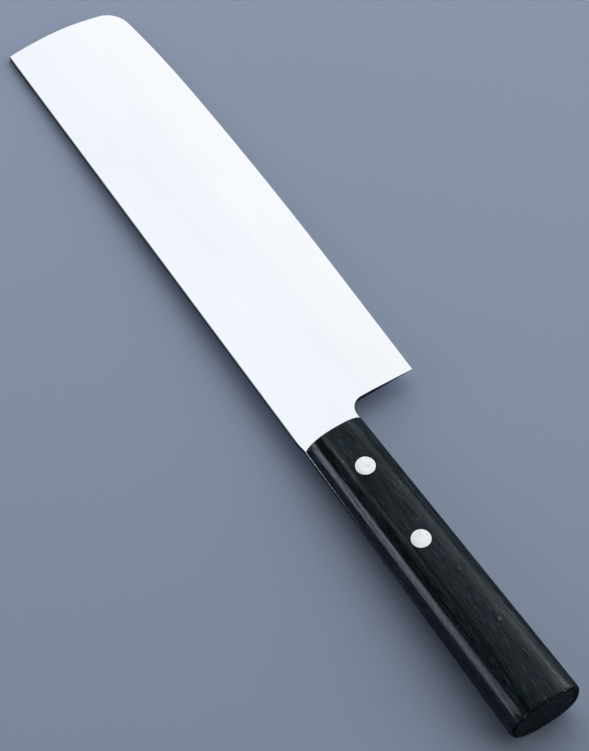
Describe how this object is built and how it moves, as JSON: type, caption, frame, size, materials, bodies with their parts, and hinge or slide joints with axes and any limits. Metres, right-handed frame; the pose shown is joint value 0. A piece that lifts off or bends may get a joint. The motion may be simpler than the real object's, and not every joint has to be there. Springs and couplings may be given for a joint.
{
  "type": "usuba knife",
  "caption": "Tall flat vegetable knife with a square tip, a wide bevel on each face, a half tang riveted into a plain oval laminated-wood handle, lying on its left side.",
  "frame": {"origin": "below the middle of the knife's box, on the surface that the handle lies on", "axes": "+X along the knife to the tip, +Y to the spine, +Z out of the blade's right face, with the blade level"},
  "size_m": [0.29, 0.0454, 0.0193],
  "materials": {
    "blade_steel": "fine satin, ground lengthwise on the flats and across on the bevels",
    "handle_wood": "black resin-pressed laminate, sanded and lightly polished, grain lengthwise",
    "filler_resin": "black filler, dull",
    "rivet_steel": "satin, ground flush with the handle"
  },
  "bodies": {
    "root": {"blade": "blade_steel", "handle": "handle_wood", "slot_filler": "filler_resin", "front_rivet_male": "rivet_steel", "front_rivet_female": "rivet_steel", "rear_rivet_male": "rivet_steel", "rear_rivet_female": "rivet_steel"}
  },
  "joints": []
}
